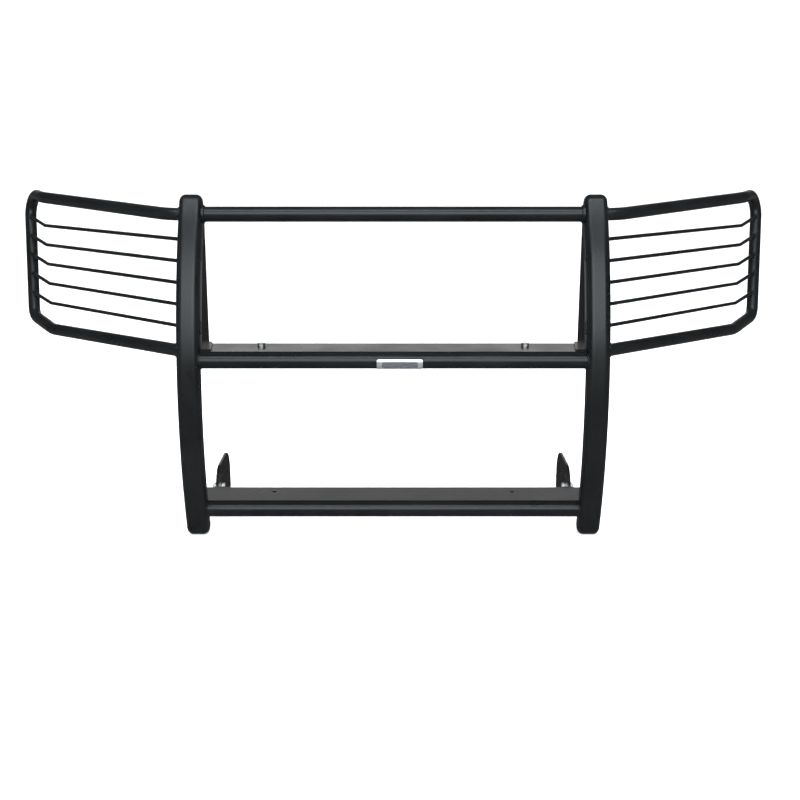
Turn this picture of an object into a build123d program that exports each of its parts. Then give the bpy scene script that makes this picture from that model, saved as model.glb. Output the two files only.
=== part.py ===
from build123d import *
from math import asin, cos, degrees, radians, sin, sqrt
import os

# Grille guard for a full-size truck: two bowed uprights joined by three cross tubes, two lip
# plates, two swept headlight wings, and the brackets that bolt it to the truck. Millimetres.
# Design frame: +X to the right seen from the front, +Y towards the truck, +Z up, with zero on
# the middle cross tube's axis. The last step moves every piece so that the origin is at the
# centre of the underside of the whole guard.

# --- uprights ---------------------------------------------------------------------------
upright_gap = 953.0            # clear width between the two uprights
upright_width = 57.15
upright_depth = 50.8
upright_wall = 3.0
upright_corner = 16.0          # corner radius of the square tube
bow_radius = 998.0             # of the upright's centre line, seen from the side
bow_centre_y = 993.0
bow_centre_z = -140.0
upright_top_z = 371.6          # height of the centres of the two rounded ends
upright_bottom_z = -441.0

# --- cross tubes and lip plates ---------------------------------------------------------
cross_tube_d = 38.1
cross_tube_wall = 2.4
top_tube_z = 349.0
mid_tube_z = 0.0
low_tube_z = -394.7
plate_t = 4.8                  # lips, gussets, ears and straps
lip_depth = 106.0              # from the tube's axis to the lip's rear edge
low_lip_reach = 24.0           # how far the low lip passes behind each upright
mid_lip_hole_span = 664.0
low_lip_hole_span = 624.0
lip_hole_y = 68.0              # behind the tube's axis
bolt_d = 10.0
bolt_hole_play = 1.0           # hole diameter over bolt diameter

# --- gussets and mounting ears ----------------------------------------------------------
gusset_rear_y = 123.0
gusset_eye_r = 23.5            # rounded head behind the end of the top tube
foot_front_y = 8.0
foot_front_width = 22.0
foot_rear_width = 10.0
ear_rear_y = 263.0
ear_rear_lean = 46.0           # how far the ear's rear edge slopes back on its way down
ear_height = 88.0
ear_front_gap = 8.0            # from the low tube's axis to the ear's front edge
ear_belly_y = 180.0            # where the ear's sloping lower edge meets its level one
ear_front_height = 42.0

# --- headlight wings --------------------------------------------------------------------
wing_tube_d = 31.75
wing_tube_wall = 2.0
wing_top_stub = 27.0           # straight run beside the upright before the tube sweeps back
wing_bottom_z = 27.0
wing_fold_bottom = Vector(936, 336, 19)
wing_fold_top = Vector(985, 490, 366)
wing_outer_bottom = Vector(1016, 434, 40)
wing_outer_top = Vector(1053, 592, 373)
wing_bend_r = 45.0
wing_sweep_r = 90.0
rod_d = 9.5
rod_count = 5
rod_bottom_z = 86.5
rod_pitch = 51.0
rod_bend_r = 20.0
rod_end_rise = 19.0
rod_seat = 9.0                 # how far the rod's axis stands in front of the outer tube's axis
wing_cope = 20.0               # how far the wing's tubes and rods run in before they are cut to the upright

# --- badge ------------------------------------------------------------------------------
badge_length = 113.0
badge_t = 1.6
badge_half_angle = 42.0
badge_tilt = -20.0             # the badge's middle looks this far below the horizontal
badge_x = 16.0
badge_corner = 5.0
badge_seat = 0.05              # adhesive film under the badge

# --- frame brackets ---------------------------------------------------------------------
bracket_t = 6.4
bracket_front = 38.0           # from the front hole column to the bracket's front edge
bracket_bolt_drop = 45.4       # height between the two holes of the front leg
bracket_bolt_lean = 7.8        # the lower one is this much further forward
bracket_bolt_y = 235.0         # upper bolt of the front leg
bracket_hole_span = 128.0      # from the front leg's upper hole to the rear leg's upper hole
bracket_rear_drop = 48.9
bracket_rear_lean = 35.7
bracket_above = 56.0           # bracket above its upper holes
bracket_below = 65.5           # bracket below its upper holes
bracket_front_r = 54.0
bracket_rear_r = 70.0
bracket_rear_reach = 63.0
notch_width = 44.0
notch_back_of_bolt = 24.0      # from the upper bolt to the notch's front wall
notch_top = 4.0                # notch top below the upper holes
notch_r = 12.0
step_width = 20.0
step_height = 17.0
small_corner_r = 6.0

# --- brace straps -----------------------------------------------------------------------
strap_width = 30.0
strap_arm_start_drop = 22.0    # arm's axis below the lip at its front end
strap_fall = 33.0              # how far the arm comes down on its way back
strap_length = 200.0
strap_plane_offset = 17.0      # from the brace bolt to the middle of the arm's plate
strap_flange_length = 28.0
strap_tab_length = 78.0
strap_tab_hole_inset = 16.0
strap_gap = 0.3                # play under the lip, so that the strap can turn

# --- fasteners --------------------------------------------------------------------------
hex_across = 17.0
head_t = 6.4
nut_t = 8.4
washer_d = 21.0
washer_t = 2.0
washer_play = 0.6              # washer hole over bolt diameter
thread_past_nut = 3.0

cut_margin = 20.0


def bow_y(z, offset=0.0):
    """Y of the upright's centre line at a height, or of a line offset towards the truck."""
    radius = bow_radius - offset
    return bow_centre_y - sqrt(radius ** 2 - (z - bow_centre_z) ** 2)


def bow_angle(z):
    return asin((z - bow_centre_z) / bow_radius)


bolt_hole_d = bolt_d + bolt_hole_play
washer_hole_d = bolt_d + washer_play
inner_x = upright_gap / 2
outer_x = inner_x + upright_width
upright_x = inner_x + upright_width / 2
gusset_inner_x = inner_x - plate_t
lip_rise = cross_tube_d / 2 + plate_t
top_tube_y = bow_y(top_tube_z)
mid_tube_y = bow_y(mid_tube_z)
low_tube_y = bow_y(low_tube_z)
low_lip_underside = low_tube_z + cross_tube_d / 2
mid_lip_underside = mid_tube_z + cross_tube_d / 2
ground_z = upright_bottom_z - upright_depth / 2
bracket_bolt_z = ground_z + bracket_below


def place_x(shape, x):
    return Pos(x, 0, 0) * shape


def plate_yz(points_or_face, x_low, thickness):
    """A flat plate in the YZ plane from x_low to x_low + thickness."""
    return place_x(extrude(points_or_face, amount=thickness), x_low)


def outline_yz(*points):
    return Plane.YZ * make_face(Polyline(*points, close=True))


def rod_x(x_low, length, y, z, radius):
    """A round bar along X."""
    return Pos(x_low + length / 2, y, z) * Rot(0, 90, 0) * Cylinder(radius, length)


def rod_z(x, y, z_low, length, radius):
    return Pos(x, y, z_low + length / 2) * Cylinder(radius, length)


# --- uprights ---------------------------------------------------------------------------
def upright_body(width, depth, corner):
    """Square tube's outer or inner body, bowed to an arc, with rounded ends."""
    start = 180 - degrees(bow_angle(upright_top_z))
    sweep_angle = degrees(bow_angle(upright_top_z) - bow_angle(upright_bottom_z))
    centre_line = CenterArc((bow_centre_y, bow_centre_z), bow_radius, start, sweep_angle)
    side = Plane.YZ * SlotArc(centre_line, depth)
    body = extrude(side, amount=width / 2, both=True)
    flanks = body.faces().sort_by(Axis.X)
    return fillet(flanks[0].edges() + flanks[-1].edges(), corner)


def end_plane(z):
    """Plane across the upright's centre line at a height, facing the upright's top."""
    angle = bow_angle(z)
    return Plane(origin=(0, bow_y(z), z), z_dir=(0, sin(angle), cos(angle)))


upright_outer = upright_body(upright_width, upright_depth, upright_corner)
upright_inner = upright_body(
    upright_width - 2 * upright_wall,
    upright_depth - 2 * upright_wall,
    upright_corner - upright_wall,
)
upright_shell = upright_outer - upright_inner
top_cap = split(upright_shell, bisect_by=end_plane(upright_top_z), keep=Keep.TOP)
below_top = split(upright_shell, bisect_by=end_plane(upright_top_z), keep=Keep.BOTTOM)
bottom_cap = split(below_top, bisect_by=end_plane(upright_bottom_z), keep=Keep.BOTTOM)
upright_tube = split(below_top, bisect_by=end_plane(upright_bottom_z), keep=Keep.TOP)
upright_right_outer = place_x(upright_outer, upright_x)
uprights_outer = [upright_right_outer, place_x(upright_outer, -upright_x)]


# --- cross tubes ------------------------------------------------------------------------
def cross_tube(y, z, half_length):
    radius = cross_tube_d / 2
    tube = rod_x(-half_length, 2 * half_length, y, z, radius)
    return tube - rod_x(-half_length, 2 * half_length, y, z, radius - cross_tube_wall)


def coped_to_uprights(shape):
    """Ends cut to the uprights' outer skin."""
    for outer in uprights_outer:
        shape = shape - outer
    return shape.solids().sort_by(SortBy.VOLUME)[-1]


top_cross_tube = cross_tube(top_tube_y, top_tube_z, gusset_inner_x)
mid_cross_tube = coped_to_uprights(cross_tube(mid_tube_y, mid_tube_z, upright_x))
low_cross_tube = coped_to_uprights(cross_tube(low_tube_y, low_tube_z, upright_x))


def lip_plate(tube_y, underside, half_width, hole_span):
    """Flat plate welded on top of a cross tube, with two bolt holes."""
    centre_y = tube_y + lip_depth / 2
    plate = Pos(0, centre_y, underside + plate_t / 2) * Box(2 * half_width, lip_depth, plate_t)
    for side in (-1, 1):
        x = side * hole_span / 2
        plate -= rod_z(x, tube_y + lip_hole_y, underside - 1, plate_t + 2, bolt_hole_d / 2)
    return coped_to_uprights(plate)


mid_lip_plate = lip_plate(mid_tube_y, mid_lip_underside, inner_x, mid_lip_hole_span)
low_lip_plate = lip_plate(low_tube_y, low_lip_underside, inner_x + low_lip_reach, low_lip_hole_span)


# --- gussets and ears, right-hand side --------------------------------------------------
def gusset():
    """Sickle-shaped plate between the upright's centre line and a vertical rear edge."""
    base_z = mid_tube_z + lip_rise
    front_bottom = (bow_y(base_z), base_z)
    front_middle = (bow_y((base_z + top_tube_z) / 2), (base_z + top_tube_z) / 2)
    front_top = (top_tube_y, top_tube_z)
    front_edge = ThreePointArc(front_bottom, front_middle, front_top)
    rear_bottom = (gusset_rear_y, base_z)
    rear_top = (gusset_rear_y, top_tube_z - gusset_eye_r / 2)
    rear_edge = Polyline(front_top, rear_top, rear_bottom, front_bottom)
    blade = Plane.YZ * make_face(front_edge + rear_edge)
    eye = Plane.YZ * Pos(top_tube_y, top_tube_z) * Circle(gusset_eye_r)
    plate = plate_yz(blade, gusset_inner_x, plate_t) + plate_yz(eye, gusset_inner_x, plate_t)
    foot_outline = Polyline(
        (inner_x, foot_front_y),
        (gusset_inner_x - foot_front_width, foot_front_y),
        (gusset_inner_x - foot_rear_width, mid_tube_y + lip_depth),
        (inner_x, mid_tube_y + lip_depth),
        close=True,
    )
    foot = Pos(0, 0, base_z) * extrude(make_face(foot_outline), amount=plate_t)
    return (plate + foot) - upright_right_outer


def ear():
    """Plate under the low lip that carries the frame bracket's two bolts."""
    top = low_lip_underside
    bottom = top - ear_height
    front_y = low_tube_y + ear_front_gap
    blade = plate_yz(
        outline_yz(
            (front_y, top),
            (ear_rear_y, top),
            (ear_rear_y + ear_rear_lean, bottom),
            (ear_belly_y, bottom),
            (front_y, top - ear_front_height),
        ),
        gusset_inner_x,
        plate_t,
    )
    tube = rod_x(0, outer_x, low_tube_y, low_tube_z, cross_tube_d / 2)
    plate = (blade - tube - upright_right_outer).solids().sort_by(SortBy.VOLUME)[-1]
    for y, z in front_bolt_points():
        plate -= rod_x(gusset_inner_x - 1, plate_t + 2, y, z, bolt_hole_d / 2)
    return plate


def front_bolt_points():
    """The two bolts that join the frame bracket to the ear."""
    return [
        (bracket_bolt_y, bracket_bolt_z),
        (bracket_bolt_y - bracket_bolt_lean, bracket_bolt_z - bracket_bolt_drop),
    ]


def rear_bolt_points():
    """The two holes that bolt to the truck's frame."""
    rear_y = bracket_bolt_y + bracket_hole_span
    return [
        (rear_y, bracket_bolt_z),
        (rear_y + bracket_rear_lean, bracket_bolt_z - bracket_rear_drop),
    ]


# --- frame bracket, right-hand side -----------------------------------------------------
def frame_bracket():
    """Arched plate on the outside of the ear: a front leg, a rear leg and a notch between."""
    front = bracket_bolt_y - bracket_front
    rear = bracket_bolt_y + bracket_hole_span + bracket_rear_reach
    top = bracket_bolt_z + bracket_above
    bottom = bracket_bolt_z - bracket_below
    sheet = Plane.YZ * Pos((front + rear) / 2, (top + bottom) / 2) * Rectangle(rear - front, top - bottom)
    blank = plate_yz(sheet, inner_x, bracket_t)
    corners = blank.edges().filter_by(Axis.X)
    blank = fillet(corners.group_by(Axis.Z)[-1].sort_by(Axis.Y)[0], bracket_front_r)
    corners = blank.edges().filter_by(Axis.X)
    blank = fillet(corners.sort_by(lambda edge: edge.center().Y + edge.center().Z)[-1], bracket_rear_r)
    corners = blank.edges().filter_by(Axis.X).group_by(Axis.Z)[0]
    blank = fillet(corners, small_corner_r)
    notch_front = bracket_bolt_y + notch_back_of_bolt
    notch_height = bracket_below - notch_top + cut_margin
    notch_centre_z = bottom - cut_margin + notch_height / 2
    notch = Plane.YZ * Pos(notch_front + notch_width / 2, notch_centre_z) * RectangleRounded(
        notch_width, notch_height, notch_r
    )
    step = Plane.YZ * Pos(notch_front + notch_width + step_width / 2, bottom + step_height / 2) * Rectangle(
        step_width, step_height
    )
    plate = blank - plate_yz(notch, inner_x, bracket_t) - plate_yz(step, inner_x, bracket_t)
    for y, z in front_bolt_points() + rear_bolt_points():
        plate -= rod_x(inner_x - 1, bracket_t + 2, y, z, bolt_hole_d / 2)
    return plate


# --- brace strap, right-hand side -------------------------------------------------------
brace_x = mid_lip_hole_span / 2
brace_y = mid_tube_y + lip_hole_y
strap_top = mid_lip_underside - strap_gap
arm_x_low = brace_x + strap_plane_offset - plate_t / 2
arm_start_z = mid_lip_underside - strap_arm_start_drop
tab_y = brace_y + strap_length
tab_z = arm_start_z - strap_fall


def brace_strap():
    """Edge-on arm with a small flange under the mid lip and a bolt tab at its rear end."""
    flange_inner_x = brace_x - strap_flange_length / 2
    flange_width = arm_x_low + plate_t - flange_inner_x
    flange = Pos(flange_inner_x + flange_width / 2, brace_y, strap_top - plate_t / 2) * Box(
        flange_width, strap_flange_length, plate_t
    )
    neck = outline_yz(
        (brace_y - strap_flange_length / 2, strap_top),
        (brace_y + strap_flange_length / 2, strap_top),
        (brace_y + strap_flange_length, arm_start_z + strap_width / 2 - strap_fall * 0.15),
        (tab_y + plate_t, tab_z + strap_width / 2),
        (tab_y + plate_t, tab_z - strap_width / 2),
        (brace_y + strap_flange_length / 2, arm_start_z - strap_width / 2),
        (brace_y - strap_flange_length / 2, strap_top - plate_t - strap_flange_length / 2),
    )
    arm = plate_yz(neck, arm_x_low, plate_t)
    heel = arm.edges().filter_by(Axis.X).sort_by(Axis.Y)[0:2].sort_by(Axis.Z)[0]
    arm = fillet(heel, strap_flange_length / 3)
    tab_inner_x = arm_x_low + plate_t - strap_tab_length
    tab = Pos(tab_inner_x + strap_tab_length / 2, tab_y + plate_t / 2, tab_z) * Box(
        strap_tab_length, plate_t, strap_width
    )
    free_corners = tab.edges().filter_by(Axis.Y).group_by(Axis.X)[0]
    tab = fillet(free_corners, strap_width * 0.4)
    strap = arm + flange + tab
    strap -= rod_z(brace_x, brace_y, strap_top - plate_t - 1, plate_t + 2, bolt_hole_d / 2)
    hole = Pos(tab_inner_x + strap_tab_hole_inset, tab_y + plate_t / 2, tab_z) * Rot(90, 0, 0) * Cylinder(
        bolt_hole_d / 2, plate_t + 2
    )
    return strap - hole


# --- headlight wing, right-hand side ----------------------------------------------------
def inside_upright(fold, z):
    """Point just inside the upright's outer side, on the line from a fold to the bow's centre line."""
    seat = Vector(outer_x, bow_y(z), z)
    return seat + (seat - fold).normalized() * wing_cope


def wing_path():
    start = Vector(upright_x, top_tube_y, top_tube_z)
    sweep_start = Vector(outer_x + wing_top_stub, top_tube_y, top_tube_z)
    finish = inside_upright(wing_fold_bottom, wing_bottom_z)
    corners = [sweep_start, wing_fold_top, wing_outer_top, wing_outer_bottom, wing_fold_bottom]
    radii = [wing_sweep_r, wing_sweep_r, wing_bend_r, wing_bend_r, wing_sweep_r]
    return FilletPolyline(start, *corners, finish, radius=radii)


def swept_round(path, radius):
    return sweep(Plane(origin=path @ 0, z_dir=path % 0) * Circle(radius), path=path)


def coped_to_right_upright(shape):
    return (shape - upright_right_outer).solids().sort_by(SortBy.VOLUME)[-1]


wing_outer = swept_round(wing_path(), wing_tube_d / 2)
wing_frame_right = coped_to_right_upright(
    wing_outer - swept_round(wing_path(), wing_tube_d / 2 - wing_tube_wall)
)


def along_edge(bottom, top, z):
    """Point at a height on the straight line between two points."""
    return bottom + (top - bottom) * ((z - bottom.Z) / (top.Z - bottom.Z))


def wing_rod(index):
    """Round bar from the upright to the outer tube, folded back with the wing."""
    z = rod_bottom_z + index * rod_pitch
    fold = along_edge(wing_fold_bottom, wing_fold_top, z)
    start = inside_upright(fold, z)
    tube_axis = along_edge(wing_outer_bottom, wing_outer_top, z + rod_end_rise)
    end = tube_axis - Vector(0, rod_seat, 0)
    path = FilletPolyline(start, fold, end, radius=rod_bend_r)
    bar = swept_round(path, rod_d / 2)
    return coped_to_right_upright(bar - wing_outer)


# --- badge ------------------------------------------------------------------------------
def badge_plate():
    """Blank curved plate stuck to the front of the mid tube."""
    inner_r = cross_tube_d / 2 + badge_seat
    middle = 180 - badge_tilt
    ring = Circle(inner_r + badge_t) - Circle(inner_r)
    rim = []
    for angle in (middle - badge_half_angle, middle, middle + badge_half_angle):
        rim.append((cross_tube_d * cos(radians(angle)), cross_tube_d * sin(radians(angle))))
    wedge = make_face(Polyline((0, 0), *rim, close=True))
    section = Plane.YZ * Pos(mid_tube_y, mid_tube_z) * (ring & wedge)
    badge = place_x(extrude(section, amount=badge_length), badge_x - badge_length / 2)
    corners = badge.edges().filter_by(GeomType.LINE).filter_by(lambda edge: edge.length < 2 * badge_t)
    return fillet(corners, badge_corner)


# --- fasteners --------------------------------------------------------------------------
def hex_bolt(grip):
    """Bolt along +Z: the head's underside is at zero and the shank goes down through the grip."""
    shank = grip + nut_t + thread_past_nut
    head = extrude(RegularPolygon(hex_across / 2, 6, major_radius=False), amount=head_t)
    crown = Pos(0, 0, head_t / 2) * Cylinder(hex_across * 0.56, head_t)
    body = (head & crown) + Pos(0, 0, -shank / 2) * Cylinder(bolt_d / 2, shank)
    return chamfer(body.edges().filter_by(GeomType.CIRCLE).sort_by(Axis.Z)[0], 1.2)


def hex_nut():
    """Nut below zero on the bolt's axis."""
    blank = extrude(RegularPolygon(hex_across / 2, 6, major_radius=False), amount=-nut_t)
    crown = Pos(0, 0, -nut_t / 2) * Cylinder(hex_across * 0.56, nut_t)
    return (blank & crown) - Pos(0, 0, -nut_t / 2) * Cylinder(bolt_d / 2, nut_t)


def washer():
    """Washer with its top face at zero."""
    ring = Cylinder(washer_d / 2, washer_t) - Cylinder(washer_hole_d / 2, washer_t)
    return Pos(0, 0, -washer_t / 2) * ring


def joint_set(seat, clamped):
    """Bolt, two washers and nut on a seat plane, for plates of a clamped thickness."""
    under_head = Location(seat) * Pos(0, 0, washer_t)
    below = Location(seat) * Pos(0, 0, -clamped)
    bolt = under_head * hex_bolt(clamped + 2 * washer_t)
    washers = [under_head * washer(), below * washer()]
    nut = below * Pos(0, 0, -washer_t) * hex_nut()
    return bolt, washers, nut


def mirrored(shape):
    return mirror(shape, about=Plane.YZ)


def fastener_groups(seats, clamped):
    """Groups of identical bolts, washers and nuts on right-hand seats and their mirror images."""
    bolts = []
    washers = []
    nuts = []
    for seat in seats:
        bolt, pair, nut = joint_set(seat, clamped)
        bolts += [bolt, mirrored(bolt)]
        nuts += [nut, mirrored(nut)]
        for ring in pair:
            washers += [ring, mirrored(ring)]
    return Compound(children=bolts), Compound(children=washers), Compound(children=nuts)


ear_seats = [
    Plane(origin=(gusset_inner_x, y, z), x_dir=(0, 1, 0), z_dir=(-1, 0, 0))
    for y, z in front_bolt_points()
]
brace_seat = Plane(origin=(brace_x, brace_y, mid_lip_underside + plate_t), z_dir=(0, 0, 1))
ear_bolts, ear_washers, ear_nuts = fastener_groups(ear_seats, plate_t + bracket_t)
brace_clamped = 2 * plate_t + 2 * strap_gap
brace_bolts, brace_washers, brace_nuts = fastener_groups([brace_seat], brace_clamped)


# --- the whole guard --------------------------------------------------------------------
nodes = {
    "top_cross_tube": top_cross_tube,
    "mid_cross_tube": mid_cross_tube,
    "low_cross_tube": low_cross_tube,
    "mid_lip_plate": mid_lip_plate,
    "low_lip_plate": low_lip_plate,
    "badge_plate": badge_plate(),
    "ear_bolts": ear_bolts,
    "ear_washers": ear_washers,
    "ear_nuts": ear_nuts,
    "brace_bolts": brace_bolts,
    "brace_washers": brace_washers,
    "brace_nuts": brace_nuts,
}

right_hand = {
    "upright": place_x(upright_tube, upright_x),
    "upright_top_cap": place_x(top_cap, upright_x),
    "upright_bottom_cap": place_x(bottom_cap, upright_x),
    "gusset": gusset(),
    "mounting_ear": ear(),
    "frame_bracket": frame_bracket(),
    "brace_strap": brace_strap(),
    "wing_frame": wing_frame_right,
}
for index in range(rod_count):
    right_hand[f"wing_rod_{index + 1}"] = wing_rod(index)

for name, shape in right_hand.items():
    nodes[f"{name}_right"] = shape
    nodes[f"{name}_left"] = mirrored(shape)

box = Compound(children=[Compound(children=list(shape.solids())) for shape in nodes.values()]).bounding_box()
to_origin = Pos(0, -(box.min.Y + box.max.Y) / 2, -box.min.Z)

os.makedirs("parts", exist_ok=True)
for name, shape in nodes.items():
    export_step(to_origin * shape, f"parts/{name}.step")
print("shift", to_origin.position)
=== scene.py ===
import math

import bmesh
import bpy
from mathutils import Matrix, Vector
from mathutils.bvhtree import BVHTree
from mathutils.kdtree import KDTree


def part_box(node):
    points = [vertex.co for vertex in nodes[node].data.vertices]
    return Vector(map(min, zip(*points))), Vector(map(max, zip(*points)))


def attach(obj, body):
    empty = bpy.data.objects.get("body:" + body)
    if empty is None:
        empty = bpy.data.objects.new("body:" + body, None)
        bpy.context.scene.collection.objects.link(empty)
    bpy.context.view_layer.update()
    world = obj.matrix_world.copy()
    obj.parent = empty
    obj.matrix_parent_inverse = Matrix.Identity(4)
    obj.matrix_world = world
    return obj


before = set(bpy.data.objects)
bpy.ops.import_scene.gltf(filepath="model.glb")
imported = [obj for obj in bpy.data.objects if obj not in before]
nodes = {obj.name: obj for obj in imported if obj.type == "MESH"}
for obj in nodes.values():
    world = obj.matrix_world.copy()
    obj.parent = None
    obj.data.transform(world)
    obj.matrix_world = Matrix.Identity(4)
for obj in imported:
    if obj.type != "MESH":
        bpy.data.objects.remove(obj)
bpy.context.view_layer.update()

SIDES = (("left", -1), ("right", 1))
RODS = 5
PLATES = ("gusset", "mounting_ear", "frame_bracket", "brace_strap")

# Weld beads, metres
TUBE_BEAD = 0.0030
ROD_BEAD = 0.0019
PLATE_BEAD = 0.0028
SEAM_BEAD = 0.0011
RIPPLE_PITCH = 0.0034
RIPPLE_DEPTH = 0.16
RING_STEP = 0.0009
BEAD_SIDES = 8
RAYS = 64
END_ZONE = 0.030

# Stitches along an edge: shares of the edge's length
GUSSET_STITCHES = (0.164, 0.669)
GUSSET_STITCH_LENGTH = 0.034
LIP_STITCHES = (-0.84, -0.42, 0.0, 0.42, 0.84)
LIP_STITCH_LENGTH = 0.042
FOOT_STITCHES = (0.25, 0.75)
FOOT_STITCH_LENGTH = 0.022
EAR_STITCHES = (0.25, 0.55, 0.85)
EAR_STITCH_LENGTH = 0.030

# Edges of sheet metal and fasteners
PLATE_BEVEL = 0.0007
FASTENER_BEVEL = 0.0004
THREAD_PITCH = 0.0015
THREAD_HEIGHT = 0.00028
THREAD_LENGTH = 0.0027

# Camera
LENS = 50
CAMERA_FORWARD = 2.953
CAMERA_HEIGHT = 1.0432
CAMERA_PITCH = math.radians(14.145)
CAMERA_SHIFT = 0.0084

# Studio
FLOOR_RADIUS = 7.0
CURVE_RADIUS = 2.0
WALL_HEIGHT = 7.0
CURVE_STEPS = 12
STUDIO_SIDES = 96
# Brightness of the room that shows in gloss, in front and behind: (height of the direction, level)
FRONT_BANDS = ((-1.0, 0.20), (-0.15, 0.22), (0.0, 0.12), (0.6, 0.07), (1.0, 0.12))
BACK_BANDS = ((-1.0, 0.12), (-0.15, 0.04), (0.05, 0.04), (0.11, 0.15), (0.20, 2.05), (0.33, 0.20), (1.0, 0.10))
SOFTBOX_TINT = (0.93, 0.99, 1.04)


# --- materials --------------------------------------------------------------------------
def new_material(name):
    material = bpy.data.materials.new(name)
    material.use_nodes = True
    tree = material.node_tree
    shader = tree.nodes["Principled BSDF"]
    return material, tree, shader


def coordinates(tree, scale=(1, 1, 1)):
    """Object coordinates in metres, stretched by a scale."""
    source = tree.nodes.new("ShaderNodeTexCoord")
    mapping = tree.nodes.new("ShaderNodeMapping")
    mapping.inputs["Scale"].default_value = scale
    tree.links.new(source.outputs["Object"], mapping.inputs["Vector"])
    return mapping.outputs["Vector"]


def noise_value(tree, vector, scale, detail=3.0, roughness=0.5):
    texture = tree.nodes.new("ShaderNodeTexNoise")
    texture.inputs["Scale"].default_value = scale
    texture.inputs["Detail"].default_value = detail
    texture.inputs["Roughness"].default_value = roughness
    tree.links.new(vector, texture.inputs["Vector"])
    return texture.outputs["Fac"]


def ranged(tree, value, low, high, start=0.35, end=0.65):
    """A texture's value mapped to a range."""
    mapped = tree.nodes.new("ShaderNodeMapRange")
    mapped.inputs["From Min"].default_value = start
    mapped.inputs["From Max"].default_value = end
    mapped.inputs["To Min"].default_value = low
    mapped.inputs["To Max"].default_value = high
    tree.links.new(value, mapped.inputs["Value"])
    return mapped.outputs["Result"]


def blended(tree, factor, first, second):
    """Colour between two, by a texture's value."""
    ramp = tree.nodes.new("ShaderNodeValToRGB")
    ramp.color_ramp.elements[0].position = 0.35
    ramp.color_ramp.elements[0].color = (*first, 1)
    ramp.color_ramp.elements[1].position = 0.65
    ramp.color_ramp.elements[1].color = (*second, 1)
    tree.links.new(factor, ramp.inputs["Fac"])
    return ramp.outputs["Color"]


def bumped(tree, shader, heights):
    """Chain of bumps: (height value, strength, distance in metres)."""
    previous = None
    for height, strength, distance in heights:
        bump = tree.nodes.new("ShaderNodeBump")
        bump.inputs["Strength"].default_value = strength
        bump.inputs["Distance"].default_value = distance
        tree.links.new(height, bump.inputs["Height"])
        if previous is not None:
            tree.links.new(previous, bump.inputs["Normal"])
        previous = bump.outputs["Normal"]
    tree.links.new(previous, shader.inputs["Normal"])


def powder_coat():
    """Satin black powder coat: fine orange peel over a slightly uneven film."""
    material, tree, shader = new_material("satin_black_powder_coat")
    place = coordinates(tree)
    cloud = noise_value(tree, place, 9.0, detail=4.0)
    peel = noise_value(tree, place, 620.0, detail=2.0)
    grain = noise_value(tree, place, 2600.0, detail=1.0)
    tree.links.new(blended(tree, cloud, (0.0030, 0.0036, 0.0039), (0.0050, 0.0057, 0.0061)), shader.inputs["Base Color"])
    tree.links.new(ranged(tree, cloud, 0.27, 0.33), shader.inputs["Roughness"])
    shader.inputs["Specular IOR Level"].default_value = 0.30
    bumped(tree, shader, [(peel, 0.16, 0.00025), (grain, 0.10, 0.00006)])
    return material


def zinc_plate():
    """Bright zinc with the faint blue and straw tints of its passivation."""
    material, tree, shader = new_material("bright_zinc_plate")
    place = coordinates(tree)
    tint = noise_value(tree, place, 160.0, detail=3.0)
    scratches = noise_value(tree, coordinates(tree, (1, 6, 1)), 900.0, detail=3.0)
    tree.links.new(blended(tree, tint, (0.50, 0.52, 0.55), (0.66, 0.64, 0.58)), shader.inputs["Base Color"])
    tree.links.new(ranged(tree, tint, 0.24, 0.40), shader.inputs["Roughness"])
    shader.inputs["Metallic"].default_value = 1.0
    bumped(tree, shader, [(scratches, 0.20, 0.00008)])
    return material


def badge_metal():
    """Brushed aluminium: a fine grain along the badge."""
    material, tree, shader = new_material("brushed_aluminium")
    brushing = noise_value(tree, coordinates(tree, (0.04, 1, 1)), 2400.0, detail=2.0)
    cloud = noise_value(tree, coordinates(tree), 40.0, detail=3.0)
    tree.links.new(blended(tree, brushing, (0.62, 0.62, 0.65), (0.82, 0.82, 0.84)), shader.inputs["Base Color"])
    tree.links.new(ranged(tree, cloud, 0.30, 0.42), shader.inputs["Roughness"])
    shader.inputs["Metallic"].default_value = 0.9
    bumped(tree, shader, [(brushing, 0.25, 0.00005)])
    return material


def badge_ink():
    """Dark satin enamel in the badge's recessed panel."""
    material, tree, shader = new_material("dark_enamel")
    cloud = noise_value(tree, coordinates(tree), 300.0, detail=3.0)
    tree.links.new(blended(tree, cloud, (0.16, 0.16, 0.175), (0.22, 0.22, 0.235)), shader.inputs["Base Color"])
    tree.links.new(ranged(tree, cloud, 0.35, 0.5), shader.inputs["Roughness"])
    shader.inputs["Metallic"].default_value = 0.4
    bumped(tree, shader, [(cloud, 0.15, 0.00005)])
    return material


def floor_paint():
    """White studio paint, faintly lit from within so that it has no corners."""
    material, tree, shader = new_material("white_floor")
    cloud = noise_value(tree, coordinates(tree), 1.2, detail=4.0)
    tree.links.new(blended(tree, cloud, (0.88, 0.88, 0.88), (0.90, 0.90, 0.90)), shader.inputs["Base Color"])
    shader.inputs["Roughness"].default_value = 0.9
    shader.inputs["Emission Color"].default_value = (1, 1, 1, 1)
    shader.inputs["Emission Strength"].default_value = 0.45
    return material


COAT = powder_coat()
ZINC = zinc_plate()
BADGE = badge_metal()
INK = badge_ink()


# --- reading the frame ------------------------------------------------------------------
def middle(node):
    low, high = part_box(node)
    return (low + high) / 2


def surface(node):
    """Ray-cast tree of a CAD node."""
    mesh = nodes[node].data
    return BVHTree.FromPolygons([v.co for v in mesh.vertices], [p.vertices for p in mesh.polygons])


def across(direction):
    first = direction.orthogonal().normalized()
    return first, direction.cross(first)


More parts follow.
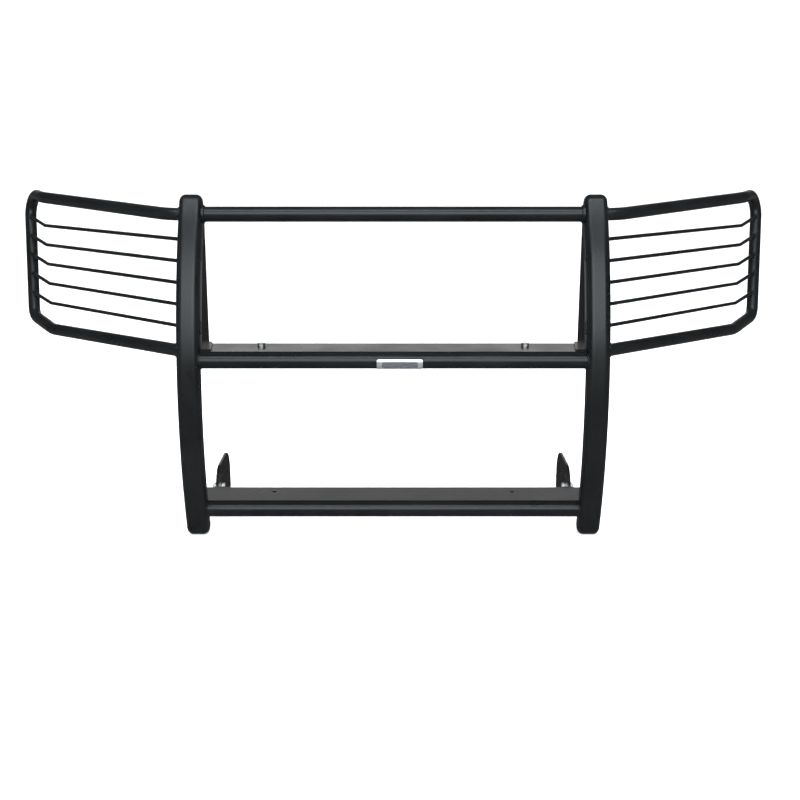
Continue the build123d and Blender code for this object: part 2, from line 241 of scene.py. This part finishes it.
def cope_ring(centre, direction, radius, target):
    """Closed line where a round bar's skin meets another node, by rays along the bar."""
    tree = surface(target)
    first, second = across(direction)
    ring = []
    for step in range(RAYS):
        angle = math.tau * step / RAYS
        start = centre + radius * (math.cos(angle) * first + math.sin(angle) * second)
        hit = tree.ray_cast(start, direction)[0]
        if hit is not None:
            ring.append(hit)
    return ring


def section_ring(centre, normal, reach, target):
    """Closed line round a node's outer skin in a plane, by rays towards its middle."""
    tree = surface(target)
    first, second = across(normal)
    ring = []
    for step in range(RAYS * 2):
        angle = math.tau * step / (RAYS * 2)
        outward = math.cos(angle) * first + math.sin(angle) * second
        hit = tree.ray_cast(centre + reach * outward, -outward)[0]
        if hit is not None:
            ring.append(hit)
    return ring


def end_run(node, outward, ceiling=math.inf):
    """A point on the axis of a bar's end run, and the direction along it to that end."""
    mesh = nodes[node].data
    low = [v.index for v in mesh.vertices if v.co.z < ceiling]
    reach = {index: abs(mesh.vertices[index].co.x) for index in low}
    limit = max(reach.values()) if outward else min(reach.values())
    tip = {index for index in low if abs(reach[index] - limit) < END_ZONE}
    runs = []
    for edge in mesh.edges:
        ends = [index for index in edge.vertices if index in tip]
        others = [index for index in edge.vertices if index not in tip]
        if len(ends) == 1 and others[0] in reach:
            runs.append((mesh.vertices[others[0]].co, mesh.vertices[ends[0]].co))
    longest = max((near - far).length for far, near in runs)
    runs = [(far, near) for far, near in runs if (near - far).length > 0.9 * longest]
    direction = sum(((near - far).normalized() for far, near in runs), Vector()).normalized()
    far_points = {tuple(round(c, 5) for c in far) for far, near in runs}
    centre = sum((Vector(point) for point in far_points), Vector()) / len(far_points)
    return centre, direction


# --- building pieces --------------------------------------------------------------------
def finish_piece(mesh, name, material, smooth=True):
    piece = bpy.data.objects.new(name, mesh)
    bpy.context.scene.collection.objects.link(piece)
    mesh.materials.append(material)
    for polygon in mesh.polygons:
        polygon.use_smooth = smooth
    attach(piece, "root")
    return piece


def resampled(points, step, closed):
    """Evenly spaced points along a polyline."""
    line = list(points) + ([points[0]] if closed else [])
    spans = [(b - a).length for a, b in zip(line, line[1:])]
    total = sum(spans)
    count = max(4, round(total / step))
    result = []
    index = 0
    passed = 0.0
    for number in range(count if closed else count + 1):
        target = total * number / count
        while index < len(spans) - 1 and passed + spans[index] < target:
            passed += spans[index]
            index += 1
        share = (target - passed) / spans[index] if spans[index] else 0.0
        result.append(line[index].lerp(line[index + 1], min(max(share, 0.0), 1.0)))
    return result


def swept_mesh(name, centres, radii, closed, sides):
    """Tube of varying radius through a line of centres."""
    form = bmesh.new()
    rings = []
    count = len(centres)
    normal = None
    for index, centre in enumerate(centres):
        after = centres[(index + 1) % count] if closed else centres[min(index + 1, count - 1)]
        before = centres[index - 1] if closed else centres[max(index - 1, 0)]
        tangent = (after - before).normalized()
        if normal is None:
            normal = tangent.orthogonal().normalized()
        normal = (normal - tangent * normal.dot(tangent)).normalized()
        other = tangent.cross(normal)
        ring = []
        for side in range(sides):
            angle = math.tau * side / sides
            offset = math.cos(angle) * normal + math.sin(angle) * other
            ring.append(form.verts.new(centre + radii[index] * offset))
        rings.append(ring)
    for index in range(count if closed else count - 1):
        first = rings[index]
        second = rings[(index + 1) % count]
        twist = 0
        if closed and index == count - 1:
            twist = min(range(sides), key=lambda k: (second[k].co - first[0].co).length)
        for side in range(sides):
            following = (side + 1) % sides
            form.faces.new((first[side], first[following],
                            second[(following + twist) % sides], second[(side + twist) % sides]))
    if not closed:
        form.faces.new(reversed(rings[0]))
        form.faces.new(rings[-1])
    bmesh.ops.recalc_face_normals(form, faces=form.faces)
    mesh = bpy.data.meshes.new(name)
    form.to_mesh(mesh)
    form.free()
    return mesh


def bead(name, points, radius, closed):
    """Weld bead: a rippled line of metal, half sunk in the corner that it fills."""
    centres = resampled(points, RING_STEP, closed)
    count = len(centres)
    length = RING_STEP * count
    ripples = max(1, round(length / RIPPLE_PITCH))
    radii = []
    for index in range(count):
        phase = ripples * index / count
        swell = abs(math.sin(math.pi * phase))
        wander = 0.05 * math.sin(7.3 * phase) * math.sin(2.1 * phase)
        taper = 1.0
        if not closed:
            to_end = min(index, count - 1 - index) * RING_STEP
            taper = min(1.0, 0.35 + to_end / (1.5 * radius))
        radii.append(radius * taper * (1 - RIPPLE_DEPTH + RIPPLE_DEPTH * swell + (0.0 if closed else wander)))
    mesh = swept_mesh(name, centres, radii, closed, BEAD_SIDES)
    return finish_piece(mesh, name, COAT)


def stitch(name, start, end, radius):
    return bead(name, [start, (start + end) / 2, end], radius, False)


# --- weld beads -------------------------------------------------------------------------
def tube_radius(node):
    low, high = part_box(node)
    return (high.z - low.z) / 2


def weld_cross_tubes():
    """Rings where the cross tubes meet the uprights, or the gussets at the top."""
    for side, sign in SIDES:
        towards = Vector((sign, 0, 0))
        for tube, target in (("top", "gusset"), ("mid", "upright"), ("low", "upright")):
            node = f"{tube}_cross_tube"
            start = Vector((0, middle(node).y, middle(node).z))
            ring = cope_ring(start, towards, tube_radius(node), f"{target}_{side}")
            bead(f"weld_{tube}_tube_{side}", ring, TUBE_BEAD, True)


def weld_wings():
    """Rings at the wing frames' two ends and at both ends of each rod."""
    top = middle("top_cross_tube")
    for side, sign in SIDES:
        wing = f"wing_frame_{side}"
        upright = f"upright_{side}"
        low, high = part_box(upright)
        outer_x = high.x if sign > 0 else low.x
        wing_low, wing_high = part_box(wing)
        wing_middle_z = (wing_low.z + wing_high.z) / 2
        centre, direction = end_run(wing, False, wing_middle_z)
        radius = max(bar_radius(wing, centre, direction), 0.01)
        start = Vector((outer_x + sign * 0.01, top.y, top.z))
        bead(f"weld_wing_top_{side}", cope_ring(start, Vector((-sign, 0, 0)), radius, upright), TUBE_BEAD, True)
        bead(f"weld_wing_bottom_{side}", cope_ring(centre, direction, radius, upright), TUBE_BEAD, True)
        for number in range(1, RODS + 1):
            rod = f"wing_rod_{number}_{side}"
            centre, direction = end_run(rod, False)
            radius = bar_radius(rod, centre, direction)
            bead(f"weld_{rod}_inner", cope_ring(centre, direction, radius, upright), ROD_BEAD, True)
            centre, direction = end_run(rod, True)
            bead(f"weld_{rod}_outer", cope_ring(centre, direction, radius, wing), ROD_BEAD, True)


def bar_radius(node, centre, direction):
    """Outer radius of a bar round a point on its axis."""
    reach = 0.03
    ring = section_ring(centre - direction * 0.0 + direction * 0.01, direction, reach, node)
    return sum((point - centre - direction * 0.01).length for point in ring) / len(ring)


def weld_gussets():
    """Stitches along each gusset's front edge and along its foot on the middle lip."""
    lip_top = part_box("mid_lip_plate")[1].z
    for side, sign in SIDES:
        node = f"gusset_{side}"
        tree = surface(node)
        low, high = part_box(node)
        face_x = high.x if sign > 0 else low.x
        plate_x = face_x - sign * 0.002
        height = high.z - low.z
        for number, share in enumerate(GUSSET_STITCHES):
            points = []
            for step in range(5):
                z = low.z + share * height + GUSSET_STITCH_LENGTH * (step / 4 - 0.5)
                hit = tree.ray_cast(Vector((plate_x, low.y - 0.1, z)), Vector((0, 1, 0)))[0]
                points.append(Vector((face_x - sign * PLATE_BEAD * 0.4, hit.y - PLATE_BEAD * 0.2, z)))
            bead(f"weld_gusset_{side}_{number + 1}", points, PLATE_BEAD, False)
        depth = high.y - low.y
        for number, share in enumerate(FOOT_STITCHES):
            points = []
            for step in range(3):
                y = middle("mid_lip_plate").y + (share - 0.5) * 0.09 + FOOT_STITCH_LENGTH * (step / 2 - 0.5)
                hit = tree.ray_cast(Vector((0, y, lip_top + 0.002)), Vector((sign, 0, 0)))[0]
                points.append(Vector((hit.x, y, lip_top)))
            bead(f"weld_foot_{side}_{number + 1}", points, PLATE_BEAD * 0.8, False)


def weld_lips():
    """Stitches in the corner between each tube's rear and the underside of its lip."""
    for lip, tube in (("mid_lip_plate", "mid_cross_tube"), ("low_lip_plate", "low_cross_tube")):
        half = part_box(tube)[1].x
        radius = tube_radius(tube)
        bead_radius = PLATE_BEAD
        y = middle(tube).y + 2 * math.sqrt(radius * bead_radius) * 0.94
        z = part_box(lip)[0].z - bead_radius * 0.8
        for number, share in enumerate(LIP_STITCHES):
            x = share * half
            start = Vector((x - LIP_STITCH_LENGTH / 2, y, z))
            end = Vector((x + LIP_STITCH_LENGTH / 2, y, z))
            stitch(f"weld_{lip}_{number + 1}", start, end, bead_radius)


def weld_ears():
    """Stitches under the low lip and an arc round the low tube on each ear's inner side."""
    tube = middle("low_cross_tube")
    radius = tube_radius("low_cross_tube")
    lip_low, lip_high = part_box("low_lip_plate")
    for side, sign in SIDES:
        low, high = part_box(f"mounting_ear_{side}")
        inner_x = low.x if sign > 0 else high.x
        for number, share in enumerate(EAR_STITCHES):
            y = tube.y + share * (lip_high.y - tube.y)
            start = Vector((inner_x, y - EAR_STITCH_LENGTH / 2, lip_low.z))
            end = Vector((inner_x, min(y + EAR_STITCH_LENGTH / 2, lip_high.y - 0.002), lip_low.z))
            stitch(f"weld_ear_{side}_{number + 1}", start, end, PLATE_BEAD)
        arc = []
        for step in range(17):
            angle = math.radians(-58 + 104 * step / 16)
            arc.append(Vector((inner_x, tube.y + radius * math.cos(angle), tube.z + radius * math.sin(angle))))
        bead(f"weld_ear_tube_{side}", arc, PLATE_BEAD, False)


def weld_caps():
    """Dressed seams where the rolled caps close the uprights' ends."""
    for side, sign in SIDES:
        upright = nodes[f"upright_{side}"].data
        finder = KDTree(len(upright.vertices))
        for vertex in upright.vertices:
            finder.insert(vertex.co, vertex.index)
        finder.balance()
        for end in ("top", "bottom"):
            cap = f"upright_{end}_cap_{side}"
            shared = [v.co for v in nodes[cap].data.vertices if finder.find(v.co)[2] < 0.00005]
            first = min(shared, key=lambda point: point.y)
            last = max(shared, key=lambda point: point.y)
            centre = Vector((middle(cap).x, (first.y + last.y) / 2, (first.z + last.z) / 2))
            slope = Vector((0, last.y - first.y, last.z - first.z)).normalized()
            normal = Vector((1, 0, 0)).cross(slope)
            ring = section_ring(centre, normal, 0.06, f"upright_{side}")
            if len(ring) < RAYS:
                ring = section_ring(centre + normal * 0.0004, normal, 0.06, f"upright_{side}")
            if len(ring) < RAYS:
                ring = section_ring(centre - normal * 0.0004, normal, 0.06, f"upright_{side}")
            inward = [point + (centre - point).normalized() * SEAM_BEAD * 0.55 for point in ring]
            bead(f"seam_{end}_cap_{side}", inward, SEAM_BEAD, True)


# --- fasteners and badge ----------------------------------------------------------------
def islands(node):
    """Vertex groups of a node's separate solids."""
    mesh = nodes[node].data
    parent = list(range(len(mesh.vertices)))

    def root(index):
        while parent[index] != index:
            parent[index] = parent[parent[index]]
            index = parent[index]
        return index

    for edge in mesh.edges:
        first, second = (root(index) for index in edge.vertices)
        parent[first] = second
    keyed = {}
    for vertex in mesh.vertices:
        keyed.setdefault(tuple(round(c, 5) for c in vertex.co), vertex.index)
    for vertex in mesh.vertices:
        parent[root(vertex.index)] = root(keyed[tuple(round(c, 5) for c in vertex.co)])
    groups = {}
    for vertex in mesh.vertices:
        groups.setdefault(root(vertex.index), []).append(vertex.co.copy())
    return list(groups.values())


def cut_threads():
    """Helix on the end of each bolt that stands out of its nut."""
    for node, axis in (("ear_bolts", 0), ("brace_bolts", 2)):
        for number, points in enumerate(islands(node)):
            low = Vector([min(p[k] for p in points) for k in range(3)])
            high = Vector([max(p[k] for p in points) for k in range(3)])
            centre = (low + high) / 2
            outward = -1 if axis == 2 else (1 if centre.x > 0 else -1)
            tip = (high if outward > 0 else low)[axis]
            radius = 0.005
            turns = THREAD_LENGTH / THREAD_PITCH
            line = []
            for step in range(int(turns * 24) + 1):
                angle = math.tau * step / 24
                along = tip - outward * (0.0009 + THREAD_PITCH * step / 24)
                point = centre.copy()
                point[axis] = along
                point[(axis + 1) % 3] += radius * math.cos(angle)
                point[(axis + 2) % 3] += radius * math.sin(angle)
                line.append(point)
            radii = [THREAD_HEIGHT * 1.6] * len(line)
            mesh = swept_mesh(f"thread_{node}_{number + 1}", line, radii, False, 6)
            finish_piece(mesh, f"thread_{node}_{number + 1}", ZINC)


def badge_panel():
    """Recessed dark panel and rim on the blank badge, wrapped round the middle tube."""
    low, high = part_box("badge_plate")
    tube = middle("mid_cross_tube")
    radius = tube_radius("mid_cross_tube") + 0.0017
    centre_x = (low.x + high.x) / 2
    half = (high.x - low.x) / 2 - 0.011
    tilt = math.radians(-20)
    spread = math.radians(27)
    form = bmesh.new()
    columns = 40
    rows = 14
    grid = []
    for row in range(rows + 1):
        line = []
        v = 2 * row / rows - 1
        for column in range(columns + 1):
            u = 2 * column / columns - 1
            pinch = 1 - 0.06 * abs(v) ** 6
            angle = tilt + spread * v * (1 - 0.18 * abs(u) ** 14)
            lift = 0.00012 if abs(u) < 0.97 and abs(v) < 0.93 else -0.0002
            reach = radius + lift
            line.append(form.verts.new((centre_x + half * u * pinch,
                                        tube.y - reach * math.cos(angle),
                                        tube.z + reach * math.sin(angle))))
        grid.append(line)
    for row in range(rows):
        for column in range(columns):
            form.faces.new((grid[row][column], grid[row][column + 1],
                            grid[row + 1][column + 1], grid[row + 1][column]))
    bmesh.ops.solidify(form, geom=form.faces[:], thickness=0.0004)
    bmesh.ops.recalc_face_normals(form, faces=form.faces)
    mesh = bpy.data.meshes.new("badge_panel")
    form.to_mesh(mesh)
    form.free()
    finish_piece(mesh, "badge_panel", INK)


# --- CAD nodes --------------------------------------------------------------------------
def soften(node, width):
    """Rounds a node's sharp edges."""
    modifier = nodes[node].modifiers.new("edge", "BEVEL")
    modifier.width = width
    modifier.segments = 2
    modifier.limit_method = "ANGLE"
    modifier.angle_limit = math.radians(50)
    modifier.harden_normals = False


def dress_nodes():
    """Gives every CAD node its material, and softens the edges of the plates, lips and fasteners."""
    for name, node in nodes.items():
        kind = name.split("_")[-1]
        material = COAT
        if kind in ("bolts", "washers", "nuts"):
            material = ZINC
        if name == "badge_plate":
            material = BADGE
        if name.startswith(PLATES) or name.endswith("lip_plate"):
            soften(name, PLATE_BEVEL)
        if material is ZINC:
            soften(name, FASTENER_BEVEL)
        node.data.materials.clear()
        node.data.materials.append(material)
        for polygon in node.data.polygons:
            polygon.material_index = 0


# --- room, light and camera -------------------------------------------------------------
def build_floor():
    """Round floor that curves up into a wall all the way round."""
    profile = [(0.001, 0.0), (FLOOR_RADIUS, 0.0)]
    for step in range(1, CURVE_STEPS + 1):
        angle = math.pi / 2 * step / CURVE_STEPS
        profile.append((FLOOR_RADIUS + CURVE_RADIUS * math.sin(angle), CURVE_RADIUS * (1 - math.cos(angle))))
    profile.append((FLOOR_RADIUS + CURVE_RADIUS, WALL_HEIGHT))
    form = bmesh.new()
    rings = []
    for reach, z in profile:
        ring = []
        for step in range(STUDIO_SIDES):
            angle = math.tau * step / STUDIO_SIDES
            ring.append(form.verts.new((reach * math.cos(angle), reach * math.sin(angle), z)))
        rings.append(ring)
    for low, high in zip(rings, rings[1:]):
        for step in range(STUDIO_SIDES):
            after = (step + 1) % STUDIO_SIDES
            form.faces.new((low[step], high[step], high[after], low[after]))
    mesh = bpy.data.meshes.new("studio_floor")
    form.to_mesh(mesh)
    form.free()
    for polygon in mesh.polygons:
        polygon.use_smooth = True
    floor = bpy.data.objects.new("studio_floor", mesh)
    bpy.context.scene.collection.objects.link(floor)
    mesh.materials.append(floor_paint())
    floor.visible_glossy = False


def area_light(name, place, target, size, power, seen_in_gloss=True):
    data = bpy.data.lights.new(name, "AREA")
    data.shape = "RECTANGLE"
    data.size = size[0]
    data.size_y = size[1]
    data.energy = power
    data.color = SOFTBOX_TINT
    lamp = bpy.data.objects.new(name, data)
    lamp.location = place
    lamp.rotation_euler = (Vector(target) - Vector(place)).to_track_quat("-Z", "Y").to_euler()
    lamp.visible_camera = False
    lamp.visible_glossy = seen_in_gloss
    bpy.context.scene.collection.objects.link(lamp)


def room_ramp(tree, height, bands):
    """Grey level by the height of a direction."""
    ramp = tree.nodes.new("ShaderNodeValToRGB")
    elements = ramp.color_ramp.elements
    elements[1].position = 1.0
    elements[0].color = (*[bands[0][1]] * 3, 1)
    elements[1].color = (*[bands[-1][1]] * 3, 1)
    for level_height, level in bands[1:-1]:
        element = elements.new((level_height + 1) / 2)
        element.color = (level, level, level, 1)
    tree.links.new(height, ramp.inputs["Fac"])
    return ramp.outputs["Color"]


def light_room():
    """Soft studio light: a dim room with a pale band low behind the object, and three softboxes."""
    bpy.context.scene.view_settings.view_transform = "Standard"
    world = bpy.data.worlds.new("studio")
    world.use_nodes = True
    tree = world.node_tree
    source = tree.nodes.new("ShaderNodeTexCoord")
    split = tree.nodes.new("ShaderNodeSeparateXYZ")
    tree.links.new(source.outputs["Generated"], split.inputs["Vector"])
    height = ranged(tree, split.outputs["Z"], 0, 1, -1, 1)
    behind = ranged(tree, split.outputs["Y"], 0, 1, 0.75, 0.93)
    mix = tree.nodes.new("ShaderNodeMixRGB")
    tree.links.new(behind, mix.inputs["Fac"])
    tree.links.new(room_ramp(tree, height, FRONT_BANDS), mix.inputs["Color1"])
    tree.links.new(room_ramp(tree, height, BACK_BANDS), mix.inputs["Color2"])
    tree.links.new(mix.outputs["Color"], tree.nodes["Background"].inputs["Color"])
    bpy.context.scene.world = world
    area_light("front_softbox", (0, -3.0, 1.95), (0, -0.2, 0.6), (2.9, 1.9), 88)
    area_light("high_strip", (0, -1.4, 3.2), (0, -0.25, 0.45), (4.0, 0.35), 60)
    area_light("top_softbox", (0, 0, 4.5), (0, 0, 0), (7.0, 7.0), 520, seen_in_gloss=False)


def place_camera():
    data = bpy.data.cameras.new("camera")
    data.lens = LENS
    data.sensor_width = 36
    data.shift_x = CAMERA_SHIFT
    camera = bpy.data.objects.new("camera", data)
    camera.location = (0, -CAMERA_FORWARD, CAMERA_HEIGHT)
    camera.rotation_euler = (math.pi / 2 - CAMERA_PITCH, 0, 0)
    bpy.context.scene.collection.objects.link(camera)
    bpy.context.scene.camera = camera


dress_nodes()
weld_cross_tubes()
weld_wings()
weld_gussets()
weld_lips()
weld_ears()
weld_caps()
cut_threads()
badge_panel()
build_floor()
light_room()
place_camera()
